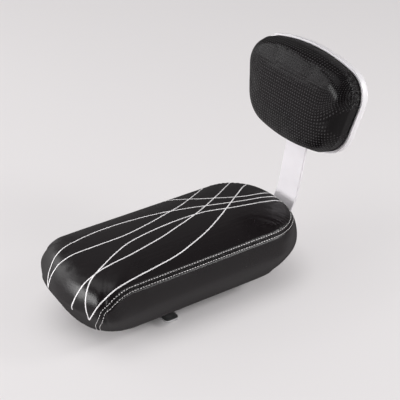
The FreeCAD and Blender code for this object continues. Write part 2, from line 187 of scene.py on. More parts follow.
def makeZinc():
    finish, tree, shader, place = newFinish("zincPlatedSteel", (0.6, 0.61, 0.62), 0.36, Metallic=1.0)
    flakes = addNode(tree, "ShaderNodeTexVoronoi", {"Vector": place, "Scale": 260.0}, feature="F1")
    bloom = noiseOn(tree, place, 120.0, 4.0)
    mixed = sumOf(tree, bloom, flakes.outputs["Distance"], 0.15)
    roughBy(tree, shader, mixed, 0.28, 0.46)
    tintBy(tree, shader, mixed, (0.52, 0.53, 0.54), (0.68, 0.69, 0.69))
    bumpBy(tree, shader, noiseOn(tree, place, 1600.0, 2.0), 0.08, 0.0001)
    return finish


def makePlywood():
    finish, tree, shader, place = newFinish("plywoodBoard", (0.5, 0.34, 0.19), 0.7)
    lay = addNode(tree, "ShaderNodeMapping", {"Vector": place, "Scale": (12.0, 160.0, 160.0)})
    fibre = noiseOn(tree, lay.outputs["Vector"], 4.0, 5.0)
    tintBy(tree, shader, fibre, (0.42, 0.27, 0.14), (0.58, 0.41, 0.24))
    bumpBy(tree, shader, fibre, 0.3, 0.0003)
    return finish


def makeFoam():
    finish, tree, shader, place = newFinish("seatFoam", (0.62, 0.58, 0.42), 0.95)
    pores = addNode(tree, "ShaderNodeTexVoronoi", {"Vector": place, "Scale": 700.0}, feature="F1")
    bumpBy(tree, shader, pores.outputs["Distance"], 0.6, 0.0006)
    tintBy(tree, shader, noiseOn(tree, place, 40.0), (0.58, 0.54, 0.38), (0.66, 0.62, 0.46))
    return finish


def makeThread():
    finish, tree, shader, place = newFinish("whiteThread", (0.78, 0.76, 0.76), 0.6)
    twist = noiseOn(tree, place, 2500.0, 2.0)
    bumpBy(tree, shader, twist, 0.5, 0.0002)
    tintBy(tree, shader, noiseOn(tree, place, 300.0), (0.70, 0.68, 0.68), (0.82, 0.80, 0.80))
    return finish


def makeInk():
    finish, tree, shader, place = newFinish("whiteStripeInk", (0.82, 0.8, 0.81), 0.42)
    weave = noiseOn(tree, place, 1100.0, 3.0)
    bumpBy(tree, shader, weave, 0.2, 0.0002)
    tintBy(tree, shader, noiseOn(tree, place, 200.0, 4.0), (0.76, 0.74, 0.75), (0.86, 0.84, 0.85))
    return finish


seatVinylLook = {"colour": (0.0068, 0.0050, 0.0057), "worn": (0.0086, 0.0065, 0.0073),
                 "rough": (0.26, 0.31), "specular": 0.27, "fade": 0.55, "grain": 800.0, "bump": 0.2}
# the pad's paler dot colour below is a painted glint standing in for highlights in the dimples
padVinylLook = {"colour": (0.0032, 0.0025, 0.0028), "worn": (0.0042, 0.0034, 0.0038),
                "rough": (0.19, 0.24), "specular": 0.13, "fade": 0.5, "grain": 1100.0, "bump": 0.12,
                "dotPitch": 4.0, "dotRadius": 1.4, "dotDepth": 0.7, "dotGlintColour": (0.05, 0.047, 0.049)}
seatVinyl = makeVinyl("blackSeatVinyl", seatVinylLook)
padVinyl = makeVinyl("dottedPadVinyl", padVinylLook)
whitePaint, whiteShell, blackBase, zinc = makePaint(), makeShell(), makeBase(), makeZinc()
plywood, foam, thread, ink = makePlywood(), makeFoam(), makeThread(), makeInk()
nodeFinish = {"backrest_bar": whitePaint, "backrest_shell": whiteShell, "seat_base": blackBase,
              "backrest_board": plywood, "seat_foam": foam, "backrest_foam": foam,
              "seat_top_panel": seatVinyl, "seat_side_band": seatVinyl, "backrest_cover": padVinyl}
for name, node in nodes.items():
    node.data.materials.clear()
    node.data.materials.append(nodeFinish.get(name, zinc))
print("finishes on", len(nodes), "nodes")


# outlines shared by the seat and the backrest, in mm
def halfOutline(halves, ends, bows, radii, counts):
    # right half of an outline with bowed ends and rounded corners, from the low end to the high end
    (lowHalf, highHalf), (low, high), (lowBow, highBow) = halves, ends, bows
    side = Vector((highHalf - lowHalf, high - highBow - low - lowBow)).normalized()
    out = Vector((side.y, -side.x))
    runs = []
    for half, end, bow, radius, sign in ((lowHalf, low, lowBow, radii[0], 1),
                                         (highHalf, high, highBow, radii[1], -1)):
        bowRadius = (half * half + bow * bow) / (2 * bow)
        bowCentre = Vector((0, end + sign * bowRadius))
        along = side * sign
        start = Vector((half, end + sign * bow)) - out * radius
        reach = start - bowCentre
        b = reach.dot(along)
        root = math.sqrt(max(b * b - reach.length_squared + (bowRadius - radius) ** 2, 0))
        step = min([t for t in (-b - root, -b + root) if t > -1e-6] or [0])
        centre = start + along * step
        toCorner = (centre - bowCentre).normalized()
        a0, a1 = math.atan2(toCorner.y, toCorner.x), math.atan2(out.y, out.x)
        first = -sign * math.pi / 2
        bowRun = [first + (a0 - first) * i / counts[0] for i in range(counts[0])]
        cornerRun = [a0 + (a1 - a0) * i / counts[1] for i in range(counts[1] + 1)]
        runs.append([bowCentre + bowRadius * Vector((math.cos(t), math.sin(t))) for t in bowRun]
                    + [centre + radius * Vector((math.cos(t), math.sin(t))) for t in cornerRun])
    foot, head = runs[0][-1], runs[1][-1]
    sideRun = [foot.lerp(head, (i + 1) / (counts[2] + 1)) for i in range(counts[2])]
    return runs[0] + sideRun + runs[1][::-1]


def fullRing(half):
    return half + [Vector((-p.x, p.y)) for p in half[-2:0:-1]]


def readTable(rows, at):
    # smooth reading between a table's rows, without overshoot
    last = len(rows) - 2
    i = next((k for k in range(last + 1) if at <= rows[k + 1][0]), last)
    width = rows[i + 1][0] - rows[i][0]
    t = (at - rows[i][0]) / width
    out = []
    for k in range(1, len(rows[0])):
        rise = [(rows[j + 1][k] - rows[j][k]) / (rows[j + 1][0] - rows[j][0]) for j in range(last + 1)]
        inner = [2 * a * b / (a + b) if a * b > 0 else 0 for a, b in zip(rise, rise[1:])]
        slope = [rise[0]] + inner + [rise[-1]]
        m0, m1 = slope[i] * width, slope[i + 1] * width
        out.append((2 * t ** 3 - 3 * t ** 2 + 1) * rows[i][k] + (t ** 3 - 2 * t ** 2 + t) * m0
                   + (3 * t ** 2 - 2 * t ** 3) * rows[i + 1][k] + (t ** 3 - t ** 2) * m1)
    return out


def walkedLengths(points):
    lengths = [0.0]
    for a, b in zip(points, points[1:]):
        lengths.append(lengths[-1] + (b - a).length)
    return lengths


def pointAt(points, lengths, at):
    at = min(max(at, 0.0), lengths[-1])
    low, high = 0, len(lengths) - 1
    while high - low > 1:
        mid = (low + high) // 2
        low, high = (mid, high) if lengths[mid] <= at else (low, mid)
    gap = lengths[high] - lengths[low]
    return points[low].lerp(points[high], (at - lengths[low]) / gap if gap > 1e-9 else 0.0)


def swell(name, source, isHeld, look):
    # inflates a closed copy as cloth, and returns a function that gives the movement near a point
    bm = bmesh.new()
    bm.from_mesh(source)
    bmesh.ops.holes_fill(bm, edges=[e for e in bm.edges if e.is_boundary], sides=0)
    formMesh = bpy.data.meshes.new(name)
    bm.to_mesh(formMesh)
    bm.free()
    form = bpy.data.objects.new(name, formMesh)
    scene.collection.objects.link(form)
    bpy.context.view_layer.objects.active = form
    form.select_set(True)
    form.data.remesh_voxel_size = look["voxel"]
    bpy.ops.object.voxel_remesh()
    rest = [v.co.copy() for v in form.data.vertices]
    faces = [tuple(p.vertices) for p in form.data.polygons]
    held = form.vertex_groups.new(name="held")
    held.add([i for i, co in enumerate(rest) if isHeld(co)], 1.0, "REPLACE")
    cloth = form.modifiers.new("Cloth", "CLOTH")
    cloth.settings.quality = look["quality"]
    cloth.settings.mass = look["mass"]
    cloth.settings.tension_stiffness = cloth.settings.compression_stiffness = look["stiffness"]
    cloth.settings.use_pressure = True
    cloth.settings.uniform_pressure_force = look["pressure"]
    cloth.settings.vertex_group_mass = "held"
    cloth.settings.effector_weights.gravity = 0
    for step in range(1, look["frames"] + 1):
        scene.frame_set(step)
    blown = form.evaluated_get(bpy.context.evaluated_depsgraph_get())
    lifts = [v.co - co for v, co in zip(blown.data.vertices, rest)]
    lifts = [lift * min(1.0, look["cap"] / max(lift.length, 1e-9)) for lift in lifts]
    print(name, len(rest), "points, largest movement mm", round(max(v.length for v in lifts) / mm, 2))
    scene.frame_set(1)
    bpy.data.objects.remove(form)
    tree = BVHTree.FromPolygons(rest, faces)

    def liftAt(co):
        spot, normal, face, gap = tree.find_nearest(co)
        shares = [1 / (1e-6 + (rest[i] - spot).length) for i in faces[face]]
        return sum((lifts[i] * s for i, s in zip(faces[face], shares)), Vector()) / sum(shares)
    return liftAt


def bendGrid(bm, lines):
    # a grid sheet bent so that its lines run through the given points
    rows = len(lines[0])
    made = bmesh.ops.create_grid(bm, x_segments=len(lines) - 1, y_segments=rows - 1, size=0.5)["verts"]
    for i, v in enumerate(made):
        row, line = divmod(i, len(lines))
        v.co = lines[line][row]


def evenOut(bm, verts, passes):
    for step in range(passes):
        bmesh.ops.smooth_vert(bm, verts=verts, factor=0.5, use_axis_x=True, use_axis_y=True, use_axis_z=True)


def subdivided(mesh):
    # the mesh after one smooth subdivision, as a new bmesh; the draft is removed
    rough = bpy.data.objects.new("rough", mesh)
    scene.collection.objects.link(rough)
    divide = rough.modifiers.new("Subdivision", "SUBSURF")
    divide.levels = divide.render_levels = 1
    fine = bpy.data.meshes.new_from_object(rough.evaluated_get(bpy.context.evaluated_depsgraph_get()))
    bm = bmesh.new()
    bm.from_mesh(fine)
    bpy.data.objects.remove(rough)
    bpy.data.meshes.remove(mesh)
    bpy.data.meshes.remove(fine)
    return bm


def finishPiece(bm, name, material, replaced=()):
    mesh = bpy.data.meshes.new(name)
    for face in bm.faces:
        face.smooth = True
    bm.to_mesh(mesh)
    bm.free()
    mesh.materials.append(material)
    piece = bpy.data.objects.new(name, mesh)
    scene.collection.objects.link(piece)
    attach(piece, "root")
    if replaced:
        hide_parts(*replaced)
    return piece


# seat cushion cover, in mm as the solids are
seat = {
    "length": 329.0, "width": 158.0, "height": 74.0, "endBow": 24.0,
    "frontCorner": 27.0, "rearCorner": 58.0, "fullestCorner": 0.8, "hem": 14.0, "hemEdge": 1.3,
    "sweepStart": 82.0, "sweepRadius": 92.0, "sweepDip": 0.6, "sweepBlend": 8.0, "sweepEase": 3.0,
    # height share, how far the sides, front and rear draw in, what the corners gain
    "sections": ((0.0, 18.0, 31.0, 28.0, 26.0), (0.012, 16.4, 24.0, 26.0, 23.0),
                 (0.03, 14.4, 20.2, 23.4, 19.6), (0.05, 12.6, 19.2, 21.0, 16.0),
                 (0.19, 6.2, 13.5, 8.0, 4.0), (0.31, 2.4, 8.6, 2.5, 1.0), (0.47, 0.0, 2.0, 0.0, 0.0),
                 (0.51, 0.1, 0.5, 0.0, 0.0), (0.54, 0.2, 0.0, 0.1, 0.0), (0.58, 0.5, 0.6, 0.3, 0.0),
                 (0.67, 1.4, 3.0, 0.8, 0.0), (0.825, 6.2, 9.8, 4.2, 2.0), (0.918, 12.2, 15.6, 11.6, 0.0),
                 (0.96, 18.5, 21.5, 18.5, -3.0), (0.985, 28.0, 30.0, 28.0, -6.0),
                 (0.996, 38.0, 39.5, 38.0, -10.0), (1.0, 52.0, 53.0, 52.0, -16.0)),
    "crown": 1.2, "seamHeight": 61.0,
    # the seam's way down the front corner: height, place along the seat
    "seamDrop": ((0.0, -128.0), (5.0, -134.0), (13.0, -138.5), (20.0, -140.8), (28.0, -142.2),
                 (36.0, -141.6), (44.3, -137.9), (51.3, -131.2), (57.1, -121.4), (59.6, -112.7),
                 (60.6, -106.0), (61.0, -98.0)),
    "counts": (15, 24, 62), "nearSeam": (0.7, 1.4, 2.1, 2.75, 3.5, 4.6, 6.2),
    "rowsBelow": 22, "rowsAbove": 36, "seamSmoothing": 8, "drawIn": 1.6, "drawAbove": 4.0,
    "tautFront": -105.0, "tautHeight": 44.0, "tautEase": (25.0, 6.0),
    "heldBelow": 7.0, "heldSeam": 3.5, "heldTaut": 0.3,
    # the front corners evened after swelling: beyond x, in front of y, above z
    "cornerZone": (40.0, -88.0, 30.0), "evening": 8, "fill": 0.85,
    "cloth": {"voxel": 0.005, "pressure": 4.0, "frames": 20, "cap": 0.0032, "stiffness": 18.0,
              "quality": 6, "mass": 0.3},
}


def seatHalf(share, inset):
    side, front, rear, gain = readTable(seat["sections"], share)
    half = seat["width"] / 2 - side - inset
    bow = seat["endBow"] * half / (seat["width"] / 2)
    fullest = seat["fullestCorner"] * half
    radii = [min(r + gain - inset, fullest) for r in (seat["frontCorner"], seat["rearCorner"])]
    ends = (-seat["length"] / 2 + front + inset, seat["length"] / 2 - rear - inset)
    return halfOutline((half, half), ends, (bow, bow), radii, seat["counts"])


def sweptUp(p):
    # the rear underside turns up with the bar
    run = min(max(p.y - seat["sweepStart"], 0.0), seat["sweepRadius"] - 1)
    floor = seat["sweepRadius"] - seat["sweepDip"] - math.sqrt(seat["sweepRadius"] ** 2 - run ** 2)
    gap, blend = p.z - floor, seat["sweepBlend"]
    if run <= 0 or gap > blend:
        return p
    rise = (gap + math.sqrt(gap * gap + seat["sweepEase"])) / 2 if gap > -blend else 0.0
    return Vector((p.x, p.y, floor + rise))


def abovePanelSeam(p):
    # positive on the top panel, negative on the side band
    over = p.z - seat["seamHeight"]
    if over > 0 or p.y > seat["seamDrop"][-1][1]:
        return over
    return max(over, readTable(seat["seamDrop"], max(p.z, 0.0))[0] - p.y)


def seatProfiles():
    # for each column, the line from the hem's edge over the side to the middle of the top
    levels = [[(p.x, p.y, z) for p in fullRing(seatHalf(0.0, inset))]
              for inset, z in ((seat["hem"], seat["hemEdge"]), (seat["hem"], 0.3), (seat["hem"] - 0.4, 0.0),
                               (10.0, 0.0), (6.0, 0.0), (3.0, 0.0))]
    shares = [0.05 * i / 8 for i in range(8)] + [0.05 + 0.87 * i / 60 for i in range(60)]
    shares += [0.92 + 0.08 * i / 16 for i in range(17)]
    levels += [[(p.x, p.y, s * seat["height"]) for p in fullRing(seatHalf(s, 0.0))] for s in shares]
    top = levels[-1]
    half = max(p[0] for p in top)
    lowY, highY = min(p[1] for p in top) + half, max(p[1] for p in top) - half
    for i in range(1, 11):
        t = i / 10
        z = seat["height"] + seat["crown"] * (1 - (1 - t) ** 2)
        levels.append([(x * (1 - t), y + (min(max(y, lowY), highY) - y) * t, z) for x, y, _ in top])
    return [[sweptUp(Vector(level[i])) for level in levels] for i in range(len(top))]


def seatColumns():
    # the profiles with their rows gathered round the seam
    profiles = seatProfiles()
    walked = [walkedLengths(p) for p in profiles]
    seams = []
    for points, lengths in zip(profiles, walked):
        values = [abovePanelSeam(p) for p in points]
        found = next((k for k in range(6, len(points)) if values[k] >= 0), 6)
        if found > 6 and values[found - 1] < 0:
            t = values[found - 1] / (values[found - 1] - values[found])
            seams.append(lengths[found - 1] + t * (lengths[found] - lengths[found - 1]))
        else:
            seams.append(5.0)
    count = len(seams)
    for step in range(seat["seamSmoothing"]):
        seams = [(seams[i - 1] + 2 * seams[i] + seams[(i + 1) % count]) / 4 for i in range(count)]
    near, columns = seat["nearSeam"], []
    for points, lengths, seam in zip(profiles, walked, seams):
        squeeze = min(1.0, 0.7 * seam / near[-1])
        below = [(seam - near[-1] * squeeze) * (1 - i / seat["rowsBelow"])
                 for i in range(seat["rowsBelow"], 0, -1)]
        above = [seam + near[-1] + (lengths[-1] - seam - near[-1]) * i / seat["rowsAbove"]
                 for i in range(1, seat["rowsAbove"] + 1)]
        stops = below + [seam - n * squeeze for n in near[::-1]] + [seam] + [seam + n for n in near] + above
        columns.append([pointAt(points, lengths, s) * mm for s in stops])
    return columns


def tautness(co):
    # 1 where the front is pulled straight under the base, 0 elsewhere
    back = (co.y / mm - seat["tautFront"]) / seat["tautEase"][0]
    up = (co.z / mm - seat["tautHeight"]) / seat["tautEase"][1]
    return min(max(-back, 0), 1) * min(max(-up, 0), 1)


def makeSeatForm():
    columns = seatColumns()
    bm = bmesh.new()
    bendGrid(bm, columns + columns[:1])
    bmesh.ops.remove_doubles(bm, verts=bm.verts, dist=1e-6)
    bmesh.ops.recalc_face_normals(bm, faces=bm.faces)
    for v in bm.verts:
        if v.co.z > seat["drawAbove"] * mm:
            v.co -= v.normal * seat["drawIn"] * (1 - tautness(v.co)) * mm
    return bm


bm = makeSeatForm()
draft = bpy.data.meshes.new("seatDraft")
bm.to_mesh(draft)


def seatHeld(co):
    swept = sweptUp(Vector((co.x, co.y, 0)) / mm).z * mm if co.y > seat["sweepStart"] * mm else 0.0
    nearSeam = abs(abovePanelSeam(co / mm)) < seat["heldSeam"]
    return co.z < swept + seat["heldBelow"] * mm or nearSeam or tautness(co) > seat["heldTaut"]


liftAt = swell("seatSwell", draft, seatHeld, seat["cloth"])
for v in bm.verts:
    v.co += liftAt(v.co)
zone = Vector(seat["cornerZone"]) * mm
corners = [v for v in bm.verts if abs(v.co.x) > zone.x and v.co.y < zone.y and v.co.z > zone.z]
evenOut(bm, corners, seat["evening"])
bm.to_mesh(draft)
bm.free()
bm = subdivided(draft)
print("seat form:", len(bm.faces), "faces")

# seam between the top panel and the side band
seam = {"reach": 40.0, "valley": 1.3, "valleyWidth": 0.9, "rowGap": 2.6, "turnAbout": 92.0,
        "foot": (46.0, -116.0, 0.0),
        # rises and dips beside the valley: height, distance from the seam, width
        "folds": ((0.25, 1.6, 0.7), (-0.3, 2.6, 0.6), (0.25, 5.0, 2.0)),
        "pucker": 0.1, "puckerAt": 3.4, "puckerWidth": 1.5,
        "gather": 0.55, "gatherPitch": 6.5, "gatherFrom": 60.0, "gatherSpot": (60.0, 128.0),
        "gatherSpan": (14.0, 22.0), "wander": (0.9, 9.0), "gatherFade": (3.0, 8.0),
        "pitch": 3.7, "stitchLength": 2.9, "threadRadius": 0.42, "stitchRise": 0.12}


def seamRoute(tree):
    # one side of the seam: from the middle of the rear along the side, down the front and under it
    z = seat["seamHeight"]
    starts = [((0, seam["turnAbout"], z), (math.sin(t), math.cos(t), 0)) for t in
              (math.radians(90 * i / 40) for i in range(40))]
    reach = seam["turnAbout"] - seat["seamDrop"][-1][1]
    starts += [((0, seam["turnAbout"] - reach * i / 60, z), (1, 0, 0)) for i in range(60)]
    heights = [z * (1 - (i / 40) ** 2) for i in range(40)]
    starts += [((0, readTable(seat["seamDrop"], h)[0], h), (1, 0, 0)) for h in heights if h > 2.5]
    route = [tree.ray_cast(Vector(start) * mm, Vector(way))[0] for start, way in starts]
    route = [p for p in route if p]
    low, foot = route[-1], Vector(seam["foot"]) * mm
    return route + [tree.find_nearest(low.lerp(foot, i / 12))[0] for i in range(1, 13)]


def resampled(points, pitch):
    lengths = walkedLengths(points)
    count = int(lengths[-1] / pitch)
    return [pointAt(points, lengths, lengths[-1] * i / count) for i in range(count + 1)]


def smoothed(points, passes):
    for step in range(passes):
        inner = [(a + 2 * b + c) / 4 for a, b, c in zip(points, points[1:], points[2:])]
        points = points[:1] + inner + points[-1:]
    return points


def bell(x, middle, width):
    return math.exp(-((x - middle) / width) ** 2)


formTree = BVHTree.FromBMesh(bm)
oneSide = seamRoute(formTree)
seamLine = [p for p in oneSide[::-1]] + [Vector((-p.x, p.y, p.z)) for p in oneSide[1:]]
seamLine = [formTree.find_nearest(p)[0] for p in smoothed(resampled(smoothed(seamLine, 2), 0.8 * mm), 6)]
seamWalk = walkedLengths(seamLine)
seamFinder = KDTree(len(seamLine))
for i, p in enumerate(seamLine):
    seamFinder.insert(p, i)
seamFinder.balance()
bm.normal_update()
for v in bm.verts:
    spot, i, gap = seamFinder.find(v.co)
    d, along = gap / mm, seamWalk[i] / mm
    if d > seam["reach"]:
        continue
    lift = -seam["valley"] * bell(d, 0.0, seam["valleyWidth"])
    lift += sum(height * bell(d, middle, width) for height, middle, width in seam["folds"])
    beat = math.cos(2 * math.pi * along / seam["pitch"])
    lift += seam["pucker"] * beat * bell(d, seam["puckerAt"], seam["puckerWidth"])
    if abovePanelSeam(v.co / mm) > 0 and v.co.y > seam["gatherFrom"] * mm:
        (x, y), (wide, long) = seam["gatherSpot"], seam["gatherSpan"]
        corner = bell(abs(v.co.x) / mm, x, wide) * bell(v.co.y / mm, y, long)
        sway = seam["wander"][0] * math.sin(along / seam["wander"][1])
        wave = math.sin(2 * math.pi * along / seam["gatherPitch"] + sway)
        start, fade = seam["gatherFade"]
        lift += seam["gather"] * corner * wave * min(1, d / start) * math.exp(-max(d - start, 0) / fade)
    v.co += v.normal * lift * mm
seatCover = finishPiece(bm, "seat_cover", seatVinyl,
                        ("seat_top_panel", "seat_side_band", "seat_foam"))
coverTree = BVHTree.FromObject(seatCover, bpy.context.evaluated_depsgraph_get())
print("seat cover:", len(seatCover.data.polygons), "faces, seam mm", round(seamWalk[-1] / mm))


def surfaceFrame(tree, points, i):
    # tangent, side and normal of a line on a surface
    along = (points[min(i + 1, len(points) - 1)] - points[max(i - 1, 0)]).normalized()
    spot, normal, face, gap = tree.find_nearest(points[i])
    side = normal.cross(along).normalized()
    return spot, along, side, side.cross(along).normalized() * -1


def makeStitches():
    bm = bmesh.new()
    for sign in (-1, 1):
        row = []
        for i in range(0, len(seamLine), 2):
            spot, along, side, up = surfaceFrame(formTree, seamLine, i)
            row.append(coverTree.find_nearest(spot + side * sign * seam["rowGap"] * mm)[0])
        row = smoothed(row, 2)
        marks = resampled(row, seam["pitch"] * mm)
        for i in range(1, len(marks) - 1):
            spot, along, side, up = surfaceFrame(coverTree, marks, i)
            turn = Matrix((along, side, up)).transposed().to_4x4()
            thick = seam["threadRadius"] * mm
            size = Matrix.Diagonal((seam["stitchLength"] / 2 * mm, thick, thick, 1))
            place = Matrix.Translation(spot + up * seam["stitchRise"] * mm) @ turn @ size
            bmesh.ops.create_uvsphere(bm, u_segments=8, v_segments=5, radius=1.0, matrix=place)
    return finishPiece(bm, "seat_stitches", thread)


stitches = makeStitches()
print("stitches:", len(stitches.data.polygons), "faces")

# printed stripes: listed points on the cover, in mm
stripes = {
    "width": 1.7, "rise": 0.14, "step": 1.6, "smoothing": 12,
    "lanes": ((-1, -0.3), (-0.6, 1), (0.6, 1), (1, -0.3)),  # share of the half width, share of the rise
    "lines": (
        ((-10, 157, 61), (-8, 150, 67), (-6, 138, 71), (-6, 121, 74), (-9, 107, 75), (-14, 95, 76),
         (-20, 84, 76), (-26, 74, 76), (-33, 63, 75), (-41, 54, 74), (-50, 45, 72), (-61, 37, 68),
         (-70, 30, 61)),
        ((5, 159, 61), (4, 150, 67), (4, 132, 72), (4, 120, 74), (2, 106, 75), (-1, 93, 76), (-5, 81, 76),
         (-9, 69, 76), (-13, 57, 76), (-18, 45, 76), (-22, 33, 76), (-26, 21, 76), (-30, 9, 75),
         (-33, -3, 75), (-36, -17, 75), (-40, -45, 75), (-40.5, -72, 75), (-38.5, -97, 74),
         (-37, -110, 73.5), (-36, -121, 72), (-34.5, -131, 70.5), (-30, -143, 66.5), (-26.5, -150.5, 60),
         (-24.5, -155.5, 53), (-22, -159, 47), (-18, -161.5, 42), (-15, -163, 38.5)),
        ((17, 158, 61), (16, 150, 66.5), (15, 138, 70), (15, 127, 72), (14, 113, 74.5), (12, 99, 75.5),
         (9.5, 86, 76), (6, 73.5, 76.5), (2, 61, 76.5), (-1, 48.5, 77), (-2.7, 35, 77), (-3.3, 20.5, 77),
         (-3.2, 6, 77), (-2.3, -9, 77), (-0.8, -24, 77), (1.4, -40, 77), (5.5, -62, 76.5), (9.5, -74, 76),
         (17, -91, 75.5), (25, -107, 74), (30.5, -118.5, 73), (35, -128, 71), (39, -136, 68.5),
         (43, -142, 64), (46, -147, 57.5), (49.5, -150.5, 50), (53.5, -152.5, 41), (55, -152, 33),
         (52, -149, 25)),
        ((-68, 93, 61), (-62, 86, 67), (-52.5, 72, 71), (-43, 55, 73.5), (-36, 41, 74.5), (-30, 25, 75),
         (-25, 6, 76), (-20, -11, 76), (-16, -28, 76.5), (-12, -47, 76.5), (-10, -64, 76.5), (-10, -80, 76),
         (-10.5, -94, 75.5), (-11.5, -108, 74.5), (-13, -120, 73), (-14, -131, 71), (-14, -141, 69),
         (-14.5, -150, 63.5), (-16, -155, 56), (-16.5, -159, 49.5), (-15, -163, 38.5)),
        ((-62, 133, 62), (-57, 127, 66), (-45, 112, 71.5), (-32, 93, 74.5), (-22, 75, 76), (-12, 56, 76.5),
         (-3.5, 37, 77), (4, 16.5, 77), (10.5, -3.5, 76.5), (16.5, -22, 76.5), (22, -45, 76), (28, -75, 75),
         (30, -91, 74.5), (31.5, -106, 74), (33, -120, 72.5), (35, -128.5, 71), (36.3, -138, 68),
         (36.4, -146, 62.5), (35.7, -151, 56.5), (34.8, -156, 48), (34, -159, 40), (33, -159.5, 33)),
        ((-44, 146, 61), (-39, 138, 67), (-32, 129, 71), (-18, 110.5, 74.5), (-4.5, 91.5, 76),
         (8, 73, 76.5), (20.5, 53, 76), (31, 34, 75), (39, 16, 74), (45.5, -2, 73), (51, -19, 71.5),
         (55, -37, 70), (57.5, -54, 69.5), (59.5, -70, 68.7), (61.2, -85, 68), (63, -99, 67.2),
         (64.8, -110.5, 66.5), (66.2, -120.5, 64.7), (66.7, -129, 61.3), (66.2, -135.5, 57),
         (65.3, -141, 52.5), (63.5, -146, 45), (60.5, -149, 37), (54, -149.5, 27), (52, -149, 25)),
    ),
}


def throughPoints(points, perSpan):
    # a smooth line through the points
    ends = [points[0] * 2 - points[1]] + points + [points[-1] * 2 - points[-2]]
    line = []
    for a, b, c, d in zip(ends, ends[1:], ends[2:], ends[3:]):
        for i in range(perSpan):
            t = i / perSpan
            line.append(0.5 * (2 * b + (c - a) * t + (2 * a - 5 * b + 4 * c - d) * t ** 2
                               + (3 * b - a - 3 * c + d) * t ** 3))
    return line + [points[-1]]


def makeStripes():
    bm = bmesh.new()
    half = stripes["width"] / 2 * mm
    for points in stripes["lines"]:
        line = throughPoints([Vector(p) * mm for p in points], 12)
        line = [coverTree.find_nearest(p)[0] for p in line]
        step = stripes["step"] * mm
        line = resampled(smoothed(resampled(line, step), stripes["smoothing"]), step)
        lanes = []
        for i in range(len(line)):
            spot, along, side, up = surfaceFrame(coverTree, line, i)
            lanes.append([coverTree.find_nearest(spot + side * half * s)[0] + up * stripes["rise"] * mm * lift
                          for s, lift in stripes["lanes"]])
        bendGrid(bm, lanes)
    bmesh.ops.recalc_face_normals(bm, faces=bm.faces)
    for face in bm.faces:
        middle = face.calc_center_median()
        if face.normal.dot(coverTree.find_nearest(middle)[1]) < 0:
            face.normal_flip()
    return finishPiece(bm, "seat_stripes", ink)


stripePiece = makeStripes()
print("stripes:", len(stripePiece.data.polygons), "faces")

# backrest pad, lying on its back: x across, y up the pad, z towards the rider, in mm
pad = {
    "topWidth": 196.0, "bottomWidth": 157.0, "height": 121.0, "depth": 32.0, "band": 12.0,
    "rear": -1.5, "hem": 14.0, "topBow": 17.5, "bottomBow": 12.0,
    "topCorner": 32.0, "bottomCorner": 44.0, "cornerEase": 0.6,
    # depth share, how far the outline draws in
    "sections": ((0.0, 0.0), (0.45, 2.0), (0.70, 5.2), (0.85, 9.5), (0.93, 14.0), (0.98, 23.0), (1.0, 34.0)),
    "shares": (0.9995, 0.998, 0.995, 0.99, 0.985, 0.98, 0.97, 0.955, 0.94, 0.925, 0.9, 0.875, 0.85,
               0.81, 0.77, 0.72, 0.66, 0.6, 0.52, 0.45, 0.38, 0.3, 0.22, 0.15, 0.08, 0.0),
    "place": (0.0, 198.903, 195.534), "lean": 10.5, "counts": (30, 40, 60), "half": (138, 106),
    "drawIn": 1.0, "drawEase": 6.0, "evening": 36, "evenAbove": 2.0, "heldBelow": 8.0, "fill": 0.9,
    "evenSquares": (0.3, 1.7, 0.4),  # areas at which the dots are gone, and the range over which they fade
    "cloth": {"voxel": 0.005, "pressure": 4.0, "frames": 20, "cap": 0.0035, "stiffness": 18.0,
              "quality": 6, "mass": 0.3},
}


def padHalf(inset):
    low, high = pad["bottomWidth"] / 2 - inset, pad["topWidth"] / 2 - inset
    bows = (pad["bottomBow"] * low * 2 / pad["bottomWidth"], pad["topBow"] * high * 2 / pad["topWidth"])
    radii = [r - pad["cornerEase"] * inset for r in (pad["bottomCorner"], pad["topCorner"])]
    ends = (-pad["height"] / 2 + inset, pad["height"] / 2 - inset)
    return halfOutline((low, high), ends, bows, radii, pad["counts"])


def padProfiles():
    # lines from the rim of the flat face over the roll and the side to the hem's edge
    roll = pad["depth"] - pad["band"]
    widest = pad["sections"][-1][1]
    rings = [(widest, pad["depth"])]
    rings += [(readTable(pad["sections"], s)[0], pad["band"] + s * roll) for s in pad["shares"]]
    rings += [(0.0, 2.0), (0.0, 0.3), (0.4, -0.8), (1.4, pad["rear"]), (pad["hem"], pad["rear"])]
    levels = [[Vector((p.x, p.y, z)) for p in fullRing(padHalf(inset))] for inset, z in rings]
    return [[level[i] for level in levels] for i in range(len(levels[0]))]


